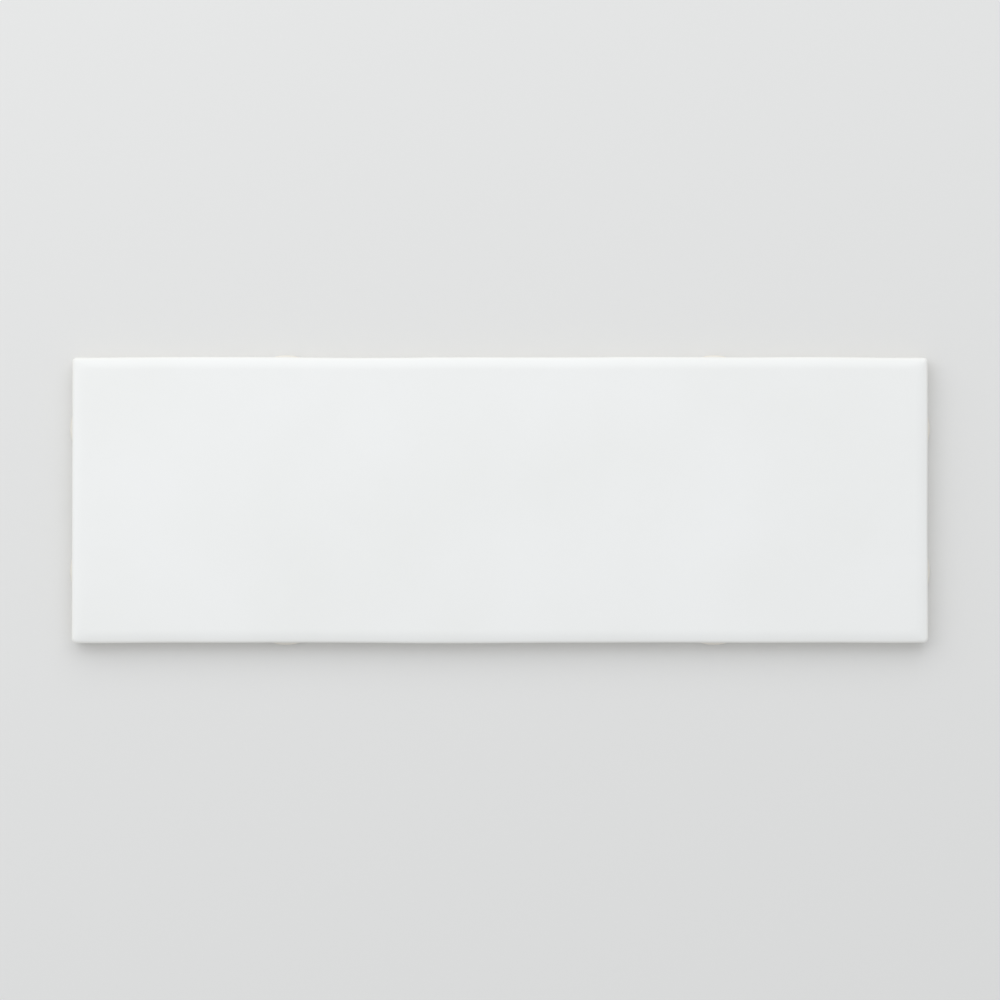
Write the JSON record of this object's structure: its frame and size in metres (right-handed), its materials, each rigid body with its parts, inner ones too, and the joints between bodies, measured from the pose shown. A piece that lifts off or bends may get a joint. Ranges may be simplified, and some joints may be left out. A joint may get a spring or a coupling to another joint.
{
  "type": "subway wall tile",
  "caption": "Long rectangular white glazed ceramic wall tile with cushioned edges, low spacer lugs on its sides and a waffled bedding back.",
  "frame": {"origin": "middle of the bedding face, on the plane of its ribs and border", "axes": "+Z out of the glazed face, +X along the tile, +Y across it, upwards as the tile is laid in the picture"},
  "size_m": [0.3016, 0.1016, 0.008],
  "materials": {
    "white_satin_glaze": "satin"
  },
  "bodies": {
    "root": {"wall_tile": "white_satin_glaze"}
  },
  "joints": []
}
